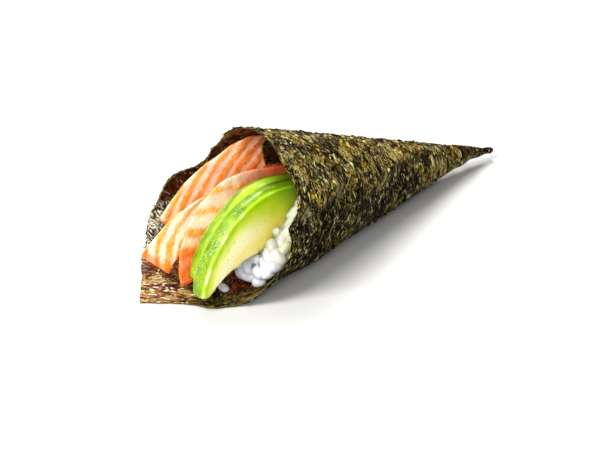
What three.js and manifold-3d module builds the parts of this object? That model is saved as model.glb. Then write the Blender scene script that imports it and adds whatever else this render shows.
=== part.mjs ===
// A temaki hand roll lying on its side: one half sheet of nori rolled into a cone round rice,
// three slices of salmon and two slices of avocado that spill out of its open end.
// Millimetres. The roll is worked out with its tip at X = 0, its mouth towards +X, the side that
// shows towards +Y and +Z up; the group then turns it so that the tip points to +X.

import * as THREE from 'three';
import { mergeVertices } from 'three/addons/utils/BufferGeometryUtils.js';
import Module from 'manifold-3d';

const wasm = await Module();
wasm.setup();

// ---- Driving dimensions ----
const coneHalfAngle = THREE.MathUtils.degToRad(12.62);
const axisRise = THREE.MathUtils.degToRad(7.32); // the axis climbs from the tip to the mouth
const tipHeight = 4.0; // height of the cone's point over the table
const tipOverrun = 2.4; // the twisted end of the sheet runs on past the cone's point
const tipRadius = 0.75;
const tipSwell = 0.6; // the pressed turns are this much thicker than the plain cone
const coreReach = 34; // up to here the turns of the tip are pressed into one solid

const noriThickness = 0.3;
const noriPitch = 0.6; // from one turn of the sheet to the next
const rollStart = -116; // degrees: the outer end lies along the back
const rollEnd = 554; // the inner end hangs under the top, after nearly two turns
const rollStep = 10;
const faceTurn = 60; // the turn before the underside at which the sheet lies on the plain cone
const curlStart = 526; // past this turn the inner end leaves the roll and curls down
const curlRadius = 3;
const curlBend = THREE.MathUtils.degToRad(105); // how far it turns before it hangs straight
const pressing = 2; // how softly the underside is pressed flat on the table

const clearance = 0.3; // between any two pieces
const wallDepth = 1.8; // the rice starts this far inside the cone's face
const mouthReach = 102; // inside this distance the fillings close up towards the tip

const riceStart = 37;
const riceFront = 116; // where the slanting front of the rice meets the table
const riceSlant = 1.15; // how far the front leans back for each millimetre of height
const riceFoot = 111; // the rice never runs out further than this along the table
const riceMiddle = new THREE.Vector3(99, 0, 15); // where the heap's front is closed
const riceRoofReach = 60; // under the top of the roll the rice stays further in
const grainsFrom = 86; // deeper in the roll than this no single grain is made out
const grainLength = 5.4;
const grainWidth = 2.7;
const grainSeed = 41;
const grainTries = 620; // grains that would touch a slice, the sheet or each other are skipped

// Where the rim of the sheet lies: [turn in degrees, distance from the tip].
const rim = [
  [-116, 100], [-109, 100.6], [-104, 102.4], [-98, 109], [-92, 112.1], [-86, 113.3],
  [-80, 114.6], [-74, 116.9], [-64, 119], [-56, 120.2], [-44, 124.4], [-32, 127.1],
  [-26, 129.1], [-17, 132.2], [-6, 137.2], [0, 134.2], [6, 131], [12, 129], [18, 127.6],
  [24, 126.8], [30, 125], [36, 122], [42, 120], [48, 118], [54, 116.5], [60, 115], [66, 113.6],
  [72, 111.5], [78, 110.6], [90, 109.9], [98, 111], [103, 110.4], [108, 108.2], [120, 105.9],
  [126, 105.3], [132, 105.8], [144, 106.8], [156, 105.5], [174, 103.7], [186, 102],
  [198, 101.8], [204, 102.3], [216, 100.9], [228, 99.9], [236, 99.8], [242, 101],
  [252, 100.8], [258, 101.5], [264, 104], [270, 107], [290, 114.5], [312, 121], [335, 123.5],
  [362, 123.5], [374, 125], [386, 123.5], [392, 118.7], [400, 114.5], [410, 112], [422, 110.6],
  [434, 109], [446, 107], [460, 105.5], [500, 102], [526, 101.8], [540, 102.3], [554, 100.6],
];

// How far the mouth's section is from a circle: [turn in degrees, millimetres out].
const outOfRound = [[-180, -0.5], [-120, -0.2], [-60, 0], [0, 0], [25, -0.6], [40, -0.8],
  [56, -0.1], [72, 0.1], [100, 0.1], [140, 0], [180, -0.5]];

// How far the pressed tip sinks below the cone's axis: [distance from the tip, millimetres down].
const tipSink = [[-2.4, 1.2], [0, 0.9], [4, 0.55], [8, 0.4], [12, 0.2], [16, 0]];

// ---- Small helpers ----
function seededRandom(seed) {
  let state = seed;
  return () => {
    state = (state * 1664525 + 1013904223) % 4294967296;
    return state / 4294967296;
  };
}

// Straight-line reading of a list of [place, value] pairs.
function readAlong(list, place) {
  let next = 1;
  while (next < list.length - 1 && place > list[next][0]) next += 1;
  const [fromPlace, fromValue] = list[next - 1];
  const [toPlace, toValue] = list[next];
  return THREE.MathUtils.mapLinear(place, fromPlace, toPlace, fromValue, toValue);
}

// A closed solid through rings of points, all with the same count, with a fan on each end.
function loft(rings) {
  const count = rings[0].length;
  const corners = rings.flat();
  const triangles = [];
  for (let ring = 0; ring < rings.length - 1; ring += 1) {
    for (let k = 0; k < count; k += 1) {
      const a = ring * count + k;
      const b = ring * count + ((k + 1) % count);
      triangles.push(a, b, b + count, a, b + count, a + count);
    }
  }
  const firstMiddle = corners.length;
  const lastMiddle = firstMiddle + 1;
  corners.push(middleOf(rings[0]), middleOf(rings[rings.length - 1]));
  const lastRing = (rings.length - 1) * count;
  for (let k = 0; k < count; k += 1) {
    const next = (k + 1) % count;
    triangles.push(firstMiddle, next, k);
    triangles.push(lastMiddle, lastRing + k, lastRing + next);
  }
  return solidFrom(corners, triangles);
}

function middleOf(ring) {
  const sum = ring.reduce((total, point) => total.add(point), new THREE.Vector3());
  return sum.divideScalar(ring.length);
}

// Turns corners and triangles into a manifold solid, inside out if they were wound that way.
function solidFrom(corners, triangles) {
  const facing = signedVolume(corners, triangles) > 0 ? triangles : [...triangles].reverse();
  const vertProperties = new Float32Array(corners.flatMap((corner) => corner.toArray()));
  const triVerts = new Uint32Array(facing);
  return new wasm.Manifold(new wasm.Mesh({ numProp: 3, vertProperties, triVerts }));
}

function signedVolume(corners, triangles) {
  let volume = 0;
  for (let k = 0; k < triangles.length; k += 3) {
    const [a, b, c] = [corners[triangles[k]], corners[triangles[k + 1]], corners[triangles[k + 2]]];
    volume += a.dot(b.clone().cross(c)) / 6;
  }
  return volume;
}

function geometryOf(solid) {
  const mesh = solid.getMesh();
  const geometry = new THREE.BufferGeometry();
  geometry.setAttribute('position', new THREE.BufferAttribute(mesh.vertProperties, 3));
  geometry.setIndex(new THREE.BufferAttribute(mesh.triVerts, 1));
  return geometry;
}

// ---- The cone ----
// A point `axial` along the cone's axis and `radius` out from it. Turn 0 is the underside,
// 90 the side that shows and 180 the top.
function roundAxis(axial, radius, turn) {
  const side = THREE.MathUtils.degToRad(turn);
  return new THREE.Vector3(
    axial * Math.cos(axisRise) + radius * Math.cos(side) * Math.sin(axisRise),
    radius * Math.sin(side),
    tipHeight + axial * Math.sin(axisRise) - radius * Math.cos(side) * Math.cos(axisRise),
  );
}

// What would sink into the table is pressed flat, layer upon layer.
function pressFlat(point, floor) {
  const depth = point.z - floor;
  if (depth < -pressing) {
    point.z = floor;
  } else if (depth < pressing) {
    point.z = floor + (depth + pressing) ** 2 / (4 * pressing);
  }
  return point;
}

// How far the roll's section is from round at the mouth, and the slow waves of the dried sheet.
// Both are alike in every turn, so that the turns never meet.
function wave(reach, turn) {
  const side = THREE.MathUtils.degToRad(turn);
  const around = THREE.MathUtils.euclideanModulo(turn + 180, 360) - 180;
  const fade = THREE.MathUtils.smoothstep(reach, 30, 110);
  const ripples = 0.16 * Math.sin(5 * side + reach / 17) + 0.12 * Math.sin(9 * side - reach / 11);
  return fade * (readAlong(outOfRound, around) + ripples);
}

// A point `reach` from the tip along the cone, `offset` out from its face and never under `floor`.
function onCone(reach, turn, offset, floor) {
  const out = offset + wave(reach, turn);
  const axial = reach * Math.cos(coneHalfAngle) - out * Math.sin(coneHalfAngle);
  const radius = reach * Math.sin(coneHalfAngle) + out * Math.cos(coneHalfAngle);
  return pressFlat(roundAxis(axial, radius, turn), floor);
}

// A point inside the roll, `depth` in from the cone's face.
function insideCone(reach, turn, depth) {
  return onCone(reach, turn, -depth, depth);
}

// ---- Nori ----
function sheetOffset(turn) {
  return (-noriPitch * (turn + faceTurn)) / 360;
}

// A point of the inner end, which leaves the roll at curlStart, bends down in a small arc near the
// mouth and then follows the roll's own curve again. `side` is how far out of the sheet's middle.
function onCurl(reach, turn, side) {
  const out = sheetOffset(curlStart) + wave(reach, curlStart);
  const axial = reach * Math.cos(coneHalfAngle) - out * Math.sin(coneHalfAngle);
  const radius = reach * Math.sin(coneHalfAngle) + out * Math.cos(coneHalfAngle);
  const travelled = THREE.MathUtils.degToRad(turn - curlStart) * radius;
  const extra = THREE.MathUtils.smoothstep(reach, 60, 98) / curlRadius;
  const bend = extra + 1 / radius;
  const arc = Math.min(travelled, (curlRadius * curlBend) / (1 + curlRadius / radius));
  const bent = arc * bend;
  const after = bent + (travelled - arc) / radius;
  const along = Math.sin(bent) / bend + radius * (Math.sin(after) - Math.sin(bent));
  const inward = (1 - Math.cos(bent)) / bend + radius * (Math.cos(bent) - Math.cos(after));
  const outward = roundAxis(0, 1, curlStart).sub(roundAxis(0, 0, curlStart));
  const onward = roundAxis(0, 1, curlStart + 90).sub(roundAxis(0, 0, curlStart));
  return roundAxis(axial, radius, curlStart)
    .addScaledVector(onward, along + side * Math.sin(after))
    .addScaledVector(outward, side * Math.cos(after) - inward);
}

// How high a turn of the sheet lies where it is pressed on the table: level under the roll, and
// one pitch higher with every turn.
function sheetFloor(turn) {
  const halfContact = 50;
  const turnsDone = (turn + halfContact) / 360;
  const whole = Math.floor(turnsDone);
  const climb = THREE.MathUtils.smoothstep(turnsDone - whole, halfContact / 180, 1);
  return noriPitch * Math.max(0, whole + climb);
}

// The rolled sheet as one thin solid: an outer and an inner face with the same triangles.
function rolledSheet(thickness, fromTurn, toTurn) {
  const turns = Math.round((toTurn - fromTurn) / rollStep);
  const lengthSteps = [14, 24, 36, 50, 64, 77, 88, 96, 103, 109, 116, 124];
  const corners = [];
  for (const side of [0.5, -0.5]) {
    for (let k = 0; k <= turns; k += 1) {
      const turn = THREE.MathUtils.lerp(fromTurn, toTurn, k / turns);
      const rimReach = readAlong(rim, turn);
      const scale = rimReach / lengthSteps[lengthSteps.length - 1];
      for (const step of lengthSteps) {
        const reach = THREE.MathUtils.lerp(step, step * scale, THREE.MathUtils.smoothstep(step, 14, 64));
        const offset = sheetOffset(turn) + side * thickness;
        const floor = sheetFloor(turn) + (0.5 - side) * thickness;
        const curled = turn > curlStart;
        corners.push(curled ? onCurl(reach, turn, side * thickness) : onCone(reach, turn, offset, floor));
      }
    }
  }
  return solidFrom(corners, sheetTriangles(turns + 1, lengthSteps.length));
}

function sheetTriangles(rows, columns) {
  const triangles = [];
  const other = rows * columns;
  const quad = (a, b, c, d) => triangles.push(a, b, c, a, c, d);
  for (let row = 0; row < rows - 1; row += 1) {
    for (let column = 0; column < columns - 1; column += 1) {
      const a = row * columns + column;
      const b = a + columns;
      triangles.push(a, b, b + 1, a, b + 1, a + 1);
      triangles.push(other + a, other + b + 1, other + b, other + a, other + a + 1, other + b + 1);
    }
    const start = row * columns;
    const end = start + columns - 1;
    quad(start + columns, start, other + start, other + start + columns);
    quad(end, end + columns, other + end + columns, other + end);
  }
  for (let column = 0; column < columns - 1; column += 1) {
    const last = (rows - 1) * columns + column;
    quad(column, column + 1, other + column + 1, other + column);
    quad(last + 1, last, other + last, other + last + 1);
  }
  return triangles;
}

// The pressed turns at the tip, ending in a thin twist.
function twistedTip() {
  const rings = [];
  for (const place of [-tipOverrun, -1, 1, 3, 6, 10, 13, 16, 20, 27, coreReach]) {
    const swell = tipSwell * (1 - THREE.MathUtils.smoothstep(place, 14, 20));
    const twist = Math.max(0, 12 - place) * 9;
    const fold = place < 12 ? 0.14 : 0;
    const ring = [];
    for (let turn = rollStart; turn < rollStart + 360; turn += rollStep) {
      const out = sheetOffset(turn) + swell;
      const ridge = 1 + fold * Math.cos(THREE.MathUtils.degToRad(3 * (turn + twist)));
      const radius = Math.max(tipRadius, place * Math.sin(coneHalfAngle) + out) * ridge;
      const point = roundAxis(place * Math.cos(coneHalfAngle), radius, turn);
      if (place < 16) point.z -= readAlong(tipSink, place);
      ring.push(point);
    }
    rings.push(ring);
  }
  return loft(rings);
}

function noriSheet() {
  return rolledSheet(noriThickness, rollStart, rollEnd).add(twistedTip());
}

// ---- Fillings ----
// Inside the mouth all fillings close up towards the tip.
function closeUp(point) {
  const share = Math.min(1, point.x / mouthReach);
  const axisAt = (x) => tipHeight + x * Math.tan(axisRise);
  const height = point.z - axisAt(mouthReach);
  if (share < 1) {
    point.z = axisAt(point.x) + height * share;
    point.y *= share;
  }
  return point;
}

// The outer edge of a slice seen from the side, as a place and the direction out of the edge at
// a distance from the slice's free end: an arc up to the top, then straight on into the cone.
function arcEdge(centre, radius, startAngle) {
  const start = THREE.MathUtils.degToRad(startAngle);
  const arcLength = radius * (Math.PI / 2 - start);
  return (travelled) => {
    const angle = Math.min(start + travelled / radius, Math.PI / 2);
    const out = new THREE.Vector2(Math.cos(angle), Math.sin(angle));
    const place = new THREE.Vector2(...centre).addScaledVector(out, radius);
    place.x -= Math.max(0, travelled - arcLength);
    return { place, out };
  };
}

// The same along a smooth line through the given places.
function drawnEdge(points) {
  const line = new THREE.SplineCurve(points.map(([x, z]) => new THREE.Vector2(x, z)));
  return (travelled) => {
    const share = THREE.MathUtils.clamp(travelled / line.getLength(), 0, 1);
    const along = line.getTangentAt(share);
    const place = line.getPointAt(share).addScaledVector(along, travelled - share * line.getLength());
    return { place, out: new THREE.Vector2(along.y, -along.x) };
  };
}

// A slice bent over the rice. `profile(share)` gives its section at a share of its length as
// [depth below the outer edge, place across] pairs; `grow` thickens it on every side.
function bentSlice(slice, grow = 0) {
  const rings = [];
  for (let k = 0; k <= slice.steps; k += 1) {
    const share = k / slice.steps;
    const endGrow = k === 0 ? -grow : k === slice.steps ? grow : 0;
    const { place, out } = slice.edge(share * slice.length + endGrow);
    const section = slice.profile(share);
    const middleDepth = section.reduce((sum, [depth]) => sum + depth, 0) / section.length;
    const middleAcross = section.reduce((sum, [, across]) => sum + across, 0) / section.length;
    rings.push(section.map(([depth, across]) => {
      const grownDepth = depth + grow * outward(depth - middleDepth);
      const grownAcross = across + grow * outward(across - middleAcross);
      const point = place.clone().addScaledVector(out, -grownDepth);
      return closeUp(new THREE.Vector3(point.x, grownAcross + slice.lean * (1 - share) ** 2, point.y));
    }));
  }
  return loft(rings);
}

// 1 or -1 on the outside of a section, nearly 0 close to its middle.
function outward(distance) {
  return THREE.MathUtils.clamp(distance / 0.7, -1, 1);
}

// A salmon slice's section: a flat bar cut at a slant, so that its far side starts further in.
function salmonProfile(near, thickness, widthList, tiltList) {
  return (share) => {
    const width = readAlong(widthList, share);
    const tilt = Math.tan(THREE.MathUtils.degToRad(readAlong(tiltList, share)));
    const slant = 0.7 * thickness;
    const swell = 0.25;
    const far = near - thickness;
    return [
      [0.5, near], [width / 2, near + swell], [width - 0.7, near],
      [width, near - 0.7], [width + 0.4, far + 0.7],
      [width - 0.3, far], [(width + slant) / 2, far], [slant + 0.6, far],
      [slant, far + 0.5], [0, near - 0.5],
    ].map(([depth, across]) => [depth, across + depth * tilt]);
  };
}

// An avocado slice's section: broad curved skin side, flat cut faces, thin at the stone.
function avocadoProfile(near, thickness, widthList) {
  return (share) => {
    const width = readAlong(widthList, share);
    const thin = Math.min(1, width / 6);
    const far = near - thickness * THREE.MathUtils.lerp(0.55, 1, thin);
    const stone = near - thickness * 0.62;
    return [
      [0.5 * thin, near], [width * 0.5, near + 0.15], [width * 0.93, near],
      [width, near - 0.9], [width, stone + 0.5],
      [width * 0.9, stone], [width * 0.45, far + 0.35], [0.9 * thin, far],
      [0, THREE.MathUtils.lerp(near, far, 0.72)], [-0.35, THREE.MathUtils.lerp(near, far, 0.3)],
    ];
  };
}

// Depth of an avocado slice from its skin side to where the stone was: [share of its length, depth].
const halfMoon = [[0, 2.5], [0.08, 6], [0.2, 10.6], [0.36, 14.8], [0.52, 16.4], [0.66, 15.2],
  [0.8, 11.6], [0.92, 7.2], [1, 3]];

const slices = {
  avocado_slice_1: {
    edge: arcEdge([99.7, -2.1], 29.5, 12), length: 61, steps: 16, lean: 0,
    profile: avocadoProfile(13, 5.8, halfMoon),
  },
  avocado_slice_2: {
    edge: arcEdge([94.8, -4.9], 32.5, 20), length: 62, steps: 16, lean: 0,
    profile: avocadoProfile(6.8, 4.3, halfMoon),
  },
  salmon_slice_1: {
    edge: drawnEdge([[120, 15], [116.4, 19], [110.8, 25], [101.5, 30.5], [94, 35], [86, 36.8],
      [60, 36.8]]),
    length: 70, steps: 16, lean: -6.4,
    profile: salmonProfile(-7.6, 3.4, [[0, 8.6], [0.3, 8.8], [0.5, 11.4], [1, 10]], [[0, 13], [1, 8]]),
  },
  salmon_slice_2: {
    edge: arcEdge([105.9, -17.1], 37.9, 47), length: 72, steps: 16, lean: 0,
    profile: salmonProfile(-7.2, 3.4, [[0, 6.8], [0.15, 6.8], [0.3, 8.5], [1, 8]],
      [[0, 42], [0.12, 36], [0.3, 18], [1, 14]]),
  },
  salmon_slice_3: {
    edge: arcEdge([104, 5], 21.6, -8), length: 78, steps: 18, lean: 3.4,
    profile: salmonProfile(-2.4, 3.4, [[0, 6], [0.3, 9], [1, 8]], [[0, 8], [0.3, 20], [1, 16]]),
  },
};

// ---- Rice ----
function riceReach(turn) {
  const direction = roundAxis(Math.cos(coneHalfAngle), Math.sin(coneHalfAngle), turn);
  const rise = direction.z - tipHeight;
  const reach = (riceFront - riceSlant * tipHeight) / (direction.x + riceSlant * rise);
  const foot = riceFoot - 5 * THREE.MathUtils.smoothstep(20 - turn, 0, 12);
  const underRoof = THREE.MathUtils.smoothstep(Math.abs(turn), 112, 150);
  return THREE.MathUtils.lerp(Math.min(reach, foot), riceRoofReach, underRoof);
}

// A point of the heap's front: `inward` 0 on the sheet, 1 in the middle of the mouth.
function riceFrontPoint(turn, inward) {
  const edge = insideCone(riceReach(turn), turn, wallDepth + 0.5 * Math.min(1, inward * 8));
  const point = edge.lerp(riceMiddle, inward);
  const lower = THREE.MathUtils.smoothstep(32 - point.z, 0, 20);
  point.x += 2.2 * lower * Math.sin(Math.PI * Math.min(1, inward * 1.4));
  return point;
}

function riceCore() {
  const sides = 40;
  const rings = [];
  const ringOf = (place) => Array.from({ length: sides }, (_, k) => place((360 * k) / sides - 180));
  for (const share of [0, 0.35, 0.65, 0.88, 0.97]) {
    rings.push(ringOf((turn) => {
      const reach = THREE.MathUtils.lerp(riceStart, riceReach(turn), share);
      return insideCone(reach, turn, wallDepth);
    }));
  }
  for (const inward of [0.03, 0.2, 0.42, 0.66, 0.86]) {
    rings.push(ringOf((turn) => riceFrontPoint(turn, inward)));
  }
  return loft(rings);
}

function riceGrain(place, random) {
  const shape = mergeVertices(barePositions(new THREE.SphereGeometry(0.5, 6, 4)));
  const size = 0.88 + 0.24 * random();
  const turned = new THREE.Euler(random() * 3, random() * 3, random() * 3);
  const matrix = new THREE.Matrix4().compose(
    place,
    new THREE.Quaternion().setFromEuler(turned),
    new THREE.Vector3(grainWidth * size, grainLength * size, grainWidth * size),
  );
  shape.applyMatrix4(matrix);
  const corners = [];
  for (let k = 0; k < shape.attributes.position.count; k += 1) {
    corners.push(new THREE.Vector3().fromBufferAttribute(shape.attributes.position, k));
  }
  return solidFrom(corners, Array.from(shape.index.array));
}

function barePositions(geometry) {
  geometry.deleteAttribute('normal');
  geometry.deleteAttribute('uv');
  return geometry;
}

// The room inside the roll, in which every grain stays.
function insideOfRoll() {
  const sides = 36;
  const rings = [riceStart, 55, 75, 95, 110, 125].map((reach) => (
    Array.from({ length: sides }, (_, k) => insideCone(reach, (360 * k) / sides, wallDepth - 0.2))
  ));
  return loft(rings);
}

function riceHeap() {
  const blockers = Object.values(slices).map((slice) => bentSlice(slice, 2.5 * clearance));
  blockers.push(rolledSheet(noriThickness + 2 * clearance, curlStart, rollEnd));
  let heap = riceCore();
  for (const blocker of blockers) heap = heap.subtract(blocker);
  const room = insideOfRoll();
  const random = seededRandom(grainSeed);
  const placed = [];
  for (let k = 0; k < grainTries; k += 1) {
    const place = riceFrontPoint(random() * 360 - 180, 0.04 + 0.9 * random() ** 1.4);
    const grain = riceGrain(place, random);
    const hidden = place.x < grainsFrom;
    const crowded = placed.some((other) => other.distanceTo(place) < grainWidth * 0.85);
    const blocked = blockers.some((blocker) => !grain.intersect(blocker).isEmpty());
    if (hidden || crowded || blocked || !grain.subtract(room).isEmpty()) continue;
    placed.push(place);
    heap = heap.add(grain);
  }
  return heap;
}

// ---- The object ----
const group = new THREE.Group();

function addPiece(name, solid, color, roughness) {
  const material = new THREE.MeshStandardMaterial({ color, roughness, metalness: 0 });
  const mesh = new THREE.Mesh(geometryOf(solid), material);
  mesh.name = name;
  group.add(mesh);
}

addPiece('nori_sheet', noriSheet(), 0x2a2a16, 0.45);
addPiece('rice', riceHeap(), 0xf1f0ea, 0.4);
for (const [name, slice] of Object.entries(slices)) {
  const isSalmon = name.startsWith('salmon');
  addPiece(name, bentSlice(slice), isSalmon ? 0xf58a3c : 0xc9d94a, isSalmon ? 0.3 : 0.4);
}

// The tip points to +X and the origin lies on the table under the middle of the roll.
group.rotation.z = Math.PI;
group.position.set(67.11, -0.343, 0);

export default group;
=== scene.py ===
"""A temaki hand roll lying on its side: nori, salmon, avocado and rice, dressed over its frame.

The shapes are worked out in millimetres in the roll's own frame: X from the tip to the mouth, Y towards
the side that shows, Z up. They are turned into the frame's metres when a mesh is made.
"""
import itertools

import bpy
import numpy as np
from mathutils import Matrix, Vector
from mathutils.bvhtree import BVHTree


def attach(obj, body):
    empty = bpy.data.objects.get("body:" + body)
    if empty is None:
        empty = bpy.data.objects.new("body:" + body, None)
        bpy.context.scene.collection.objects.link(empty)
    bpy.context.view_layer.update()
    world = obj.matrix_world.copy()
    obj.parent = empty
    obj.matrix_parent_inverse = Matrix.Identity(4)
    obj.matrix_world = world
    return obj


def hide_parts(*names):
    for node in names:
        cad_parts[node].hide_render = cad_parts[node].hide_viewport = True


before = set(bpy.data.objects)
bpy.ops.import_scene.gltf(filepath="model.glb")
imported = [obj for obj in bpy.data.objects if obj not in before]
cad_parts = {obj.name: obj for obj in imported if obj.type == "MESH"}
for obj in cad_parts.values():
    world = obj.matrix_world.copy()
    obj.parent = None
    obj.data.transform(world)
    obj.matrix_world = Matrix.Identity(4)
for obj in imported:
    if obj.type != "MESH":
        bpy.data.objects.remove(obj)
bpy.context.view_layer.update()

# ---- The roll's named sizes, in millimetres and degrees ----
# A turn is a place round the cone in degrees: 0 the underside, 90 the near side, 180 the top.
ROLL_AT = (67.11, -0.343)  # where the tip of the cone stands in the frame
HALF_ANGLE = np.radians(12.62)
AXIS_RISE = np.radians(7.32)
TIP_HEIGHT = 4.0
TIP_OVERRUN = 2.4
TIP_RADIUS = 0.75
TIP_SWELL = 0.6  # the pressed turns are this much thicker than the plain cone
CORE_REACH = 34

NORI_THICKNESS = 0.3
NORI_PITCH = 0.6
ROLL_START = -116  # the outer end lies along the back
ROLL_END = 554
FACE_TURN = 60
CURL_START = 526  # past this turn the inner end leaves the roll and curls down
CURL_RADIUS = 3
CURL_BEND = np.radians(105)  # how far it turns before it hangs straight
PRESSING = 2

WALL_DEPTH = 1.8
MOUTH_REACH = 102

# Where the rim of the sheet lies: [turn in degrees, distance from the tip].
RIM = np.array([
    [-116, 100], [-109, 100.6], [-104, 102.4], [-98, 109], [-92, 112.1], [-86, 113.3],
    [-80, 114.6], [-74, 116.9], [-64, 119], [-56, 120.2], [-44, 124.4], [-32, 127.1],
    [-26, 129.1], [-17, 132.2], [-6, 137.2], [0, 134.2], [6, 131], [12, 129], [18, 127.6],
    [24, 126.8], [30, 125], [36, 122], [42, 120], [48, 118], [54, 116.5], [60, 115], [66, 113.6],
    [72, 111.5], [78, 110.6], [90, 109.9], [98, 111], [103, 110.4], [108, 108.2], [120, 105.9],
    [126, 105.3], [132, 105.8], [144, 106.8], [156, 105.5], [174, 103.7], [186, 102],
    [198, 101.8], [204, 102.3], [216, 100.9], [228, 99.9], [236, 99.8], [242, 101],
    [252, 100.8], [258, 101.5], [264, 104], [270, 107], [290, 114.5], [312, 121], [335, 123.5],
    [362, 123.5], [374, 125], [386, 123.5], [392, 118.7], [400, 114.5], [410, 112], [422, 110.6],
    [434, 109], [446, 107], [460, 105.5], [500, 102], [526, 101.8], [540, 102.3], [554, 100.6],
])

# How far the mouth's section is from a circle: [turn in degrees, millimetres out].
OUT_OF_ROUND = np.array([
    [-180, -0.5], [-120, -0.2], [-60, 0], [0, 0], [25, -0.6], [40, -0.8], [56, -0.1], [72, 0.1],
    [100, 0.1], [140, 0], [180, -0.5],
])

# How far the pressed tip sinks below the cone's axis: [distance from the tip, millimetres down].
TIP_SINK = np.array([[-2.4, 1.2], [0, 0.9], [4, 0.55], [8, 0.4], [12, 0.2], [16, 0]])


# ---- Small helpers ----
def read_along(table, place):
    return np.interp(place, table[:, 0], table[:, 1])


def around_once(turn):
    """The same turn between -180 and 180 degrees."""
    return np.mod(turn + 180, 360) - 180


def smoothstep(value, low, high):
    share = np.clip((value - low) / (high - low), 0, 1)
    return share * share * (3 - 2 * share)


def fade(value, low, high):
    return 1 - smoothstep(value, low, high)


def lerp(start, end, share):
    return start + (end - start) * share


def joined(*parts):
    """Points from their coordinates; a single number stands for all points."""
    return np.stack(np.broadcast_arrays(*parts), -1)


def size_of(vectors):
    return np.linalg.norm(vectors, axis=-1)


def lumps(points, size, seed):
    """Smooth random bumps between about -1 and 1 in space, `size` millimetres apart."""
    random = np.random.default_rng(seed)
    order = random.permutation(256)
    slopes = random.normal(size=(256, 3))
    slopes /= np.linalg.norm(slopes, axis=1, keepdims=True)
    place = np.asarray(points, float) / size
    cell = np.floor(place).astype(int)
    within = place - cell
    eased = within ** 3 * (within * (within * 6 - 15) + 10)
    total = np.zeros(place.shape[:-1])
    for corner in itertools.product((0, 1), repeat=3):
        key = cell + corner
        pick = order[(order[(order[key[..., 0] & 255] + key[..., 1]) & 255] + key[..., 2]) & 255]
        weight = np.prod(np.where(corner, eased, 1 - eased), axis=-1)
        total += weight * ((within - corner) * slopes[pick]).sum(-1)
    return 1.6 * total


def rough(points, size, seed, layers=3):
    """Lumps with finer lumps on them."""
    return sum(lumps(points, size / 2 ** k, seed + k) / 2 ** k for k in range(layers))


# ---- The cone ----
def round_axis(axial, radius, turn):
    side = np.radians(turn)
    return joined(
        axial * np.cos(AXIS_RISE) + radius * np.cos(side) * np.sin(AXIS_RISE),
        radius * np.sin(side),
        TIP_HEIGHT + axial * np.sin(AXIS_RISE) - radius * np.cos(side) * np.cos(AXIS_RISE))


def press_flat(points, floor):
    """What would sink into the table is pressed flat, layer upon layer."""
    depth = points[..., 2] - floor
    soft = floor + (depth + PRESSING) ** 2 / (4 * PRESSING)
    points[..., 2] = np.where(depth < -PRESSING, floor, np.where(depth < PRESSING, soft, points[..., 2]))
    return points


def wave(reach, turn):
    side = np.radians(turn)
    ripples = 0.16 * np.sin(5 * side + reach / 17) + 0.12 * np.sin(9 * side - reach / 11)
    return smoothstep(reach, 30, 110) * (read_along(OUT_OF_ROUND, around_once(turn)) + ripples)


def on_cone(reach, turn, offset, floor):
    out = offset + wave(reach, turn)
    axial = reach * np.cos(HALF_ANGLE) - out * np.sin(HALF_ANGLE)
    radius = reach * np.sin(HALF_ANGLE) + out * np.cos(HALF_ANGLE)
    return press_flat(round_axis(axial, radius, turn), floor)


def inside_cone(reach, turn, depth):
    return on_cone(reach, turn, -depth, depth)


def outside_by(points):
    """How far points lie outside the plain cone's face."""
    tip = np.array([0, 0, TIP_HEIGHT])
    axis = np.array([np.cos(AXIS_RISE), 0, np.sin(AXIS_RISE)])
    along = (points - tip) @ axis
    radius = size_of(points - tip - along[..., None] * axis)
    return radius * np.cos(HALF_ANGLE) - along * np.sin(HALF_ANGLE)


# ---- Making meshes ----
def make_piece(name, points, faces, materials, replaced, values=None, face_material=None):
    """A smooth mesh of the given points and faces, standing for a CAD node.

    `values` are stored on the points by name, for the materials to read.
    """
    points = np.asarray(points, float)
    metres = np.empty_like(points)
    metres[:, 0] = ROLL_AT[0] - points[:, 0]
    metres[:, 1] = ROLL_AT[1] - points[:, 1]
    metres[:, 2] = points[:, 2]
    mesh = bpy.data.meshes.new(name)
    mesh.from_pydata((metres / 1000).tolist(), [], faces)
    for label, value in (values or {}).items():
        value = np.asarray(value, np.float32)
        if value.ndim == 2:
            mesh.attributes.new(label, "FLOAT_VECTOR", "POINT").data.foreach_set("vector", value.ravel())
        else:
            mesh.attributes.new(label, "FLOAT", "POINT").data.foreach_set("value", value)
    for material in materials:
        mesh.materials.append(material)
    if face_material is not None:
        mesh.polygons.foreach_set("material_index", np.asarray(face_material, np.int32))
    mesh.polygons.foreach_set("use_smooth", np.ones(len(mesh.polygons), bool))
    mesh.validate()
    mesh.update()
    piece = bpy.data.objects.new(name, mesh)
    bpy.context.scene.collection.objects.link(piece)
    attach(piece, "root")
    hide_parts(replaced)
    return piece


def grid_faces(rows, columns, start=0, closed=False, flip=False):
    """Quads between rows of points; closed joins the last column to the first."""
    row = np.arange(rows - 1)[:, None] * columns
    column = np.arange(columns if closed else columns - 1)[None, :]
    following = (column + 1) % columns
    below = row + columns
    quads = joined(row + column, below + column, below + following, row + following).reshape(-1, 4) + start
    return quads[:, ::-1] if flip else quads


def copied_faces(faces, corners, count):
    """The faces of `count` equal bodies with so many corners each."""
    return [tuple(corner + corners * k for corner in face) for k in range(count) for face in faces]


def with_caps(rings):
    """A value for every point of a loft: those on the rings, then one for the middle of each end."""
    rings = np.asarray(rings)
    return np.concatenate([rings.reshape(-1, *rings.shape[2:]), rings[:1].mean(1), rings[-1:].mean(1)])


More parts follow.
